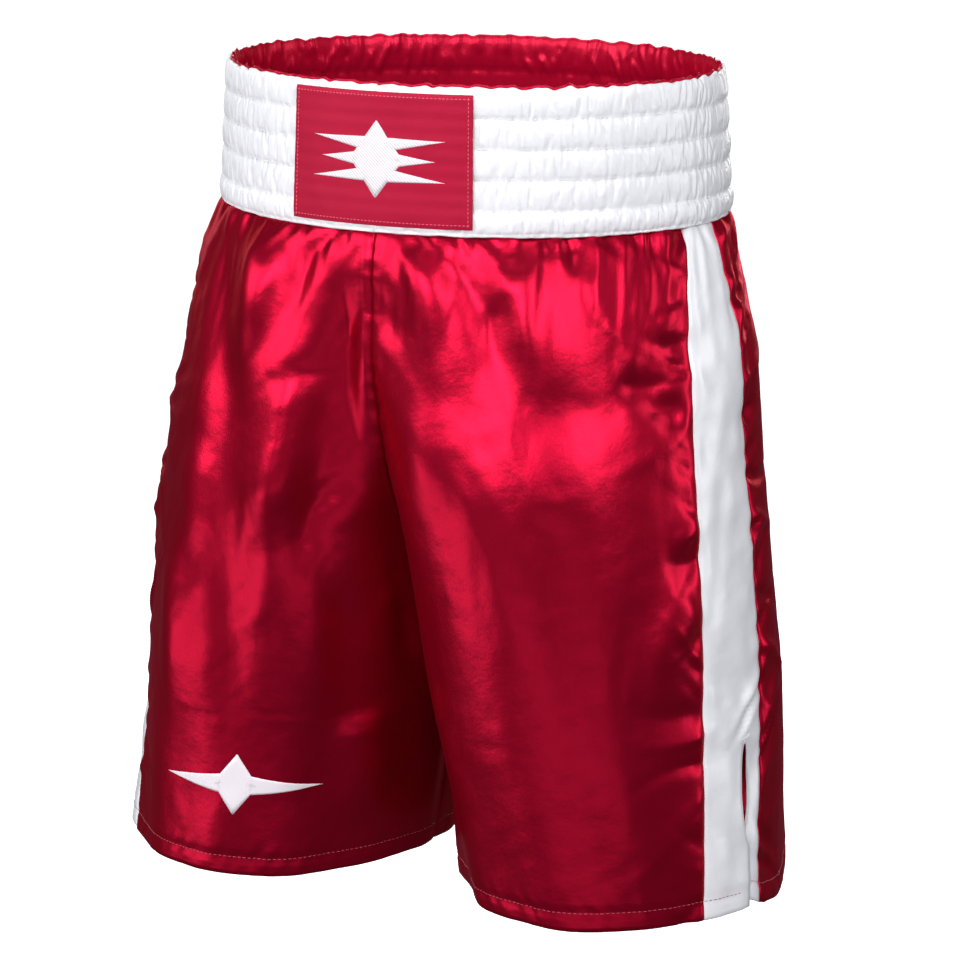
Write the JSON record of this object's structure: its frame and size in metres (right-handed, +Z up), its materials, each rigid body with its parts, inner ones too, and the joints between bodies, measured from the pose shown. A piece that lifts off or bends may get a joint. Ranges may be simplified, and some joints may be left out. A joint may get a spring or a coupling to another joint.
{
  "type": "boxing shorts",
  "caption": "Loose satin boxing shorts with a tall gathered elastic waistband, a front patch, side stripes and hem vents.",
  "frame": {"origin": "middle of the waistband, at half its height, where a body or a display form holds the shorts", "axes": "+X to the wearer's left, -Y to the front, +Z up"},
  "size_m": [0.4248, 0.2862, 0.494],
  "materials": {
    "red_satin": "glossy polyester satin",
    "lining_red": "gathered polyester satin lining",
    "white_satin": "glossy polyester satin",
    "elastic": "matte knitted elastic tape",
    "patch_red": "flat woven satin patch",
    "emblem_white": "embroidery and matte print",
    "thread_white": "polyester sewing thread",
    "thread_red": "polyester sewing thread",
    "label_white": "blank satin tape"
  },
  "bodies": {
    "shorts": {"waistband_shell": "white_satin", "waistband_lining": "lining_red", "elastic_1": "elastic", "elastic_2": "elastic", "elastic_3": "elastic", "elastic_4": "elastic", "elastic_5": "elastic", "front_patch": "patch_red", "patch_emblem": "emblem_white", "patch_stitching": "thread_red", "right_front_panel": "red_satin", "left_front_panel": "red_satin", "right_back_panel": "red_satin", "left_back_panel": "red_satin", "right_side_stripe": "white_satin", "left_side_stripe": "white_satin", "leg_emblem": "emblem_white", "waistband_stitch_row_1": "thread_white", "waistband_stitch_row_2": "thread_white", "waistband_stitch_row_3": "thread_white", "waistband_stitch_row_4": "thread_white", "right_hem_stitching": "thread_red", "left_hem_stitching": "thread_red", "right_vent_bartack": "thread_white", "left_vent_bartack": "thread_white"},
    "label": {"care_label": "label_white"}
  },
  "joints": [
    {"name": "label_swing", "type": "hinge", "parent": "shorts", "child": "label", "pos_m": [0, 0.1284, -0.0436], "axis": [-1, 0, 0], "range_deg": [0, 140]}
  ]
}
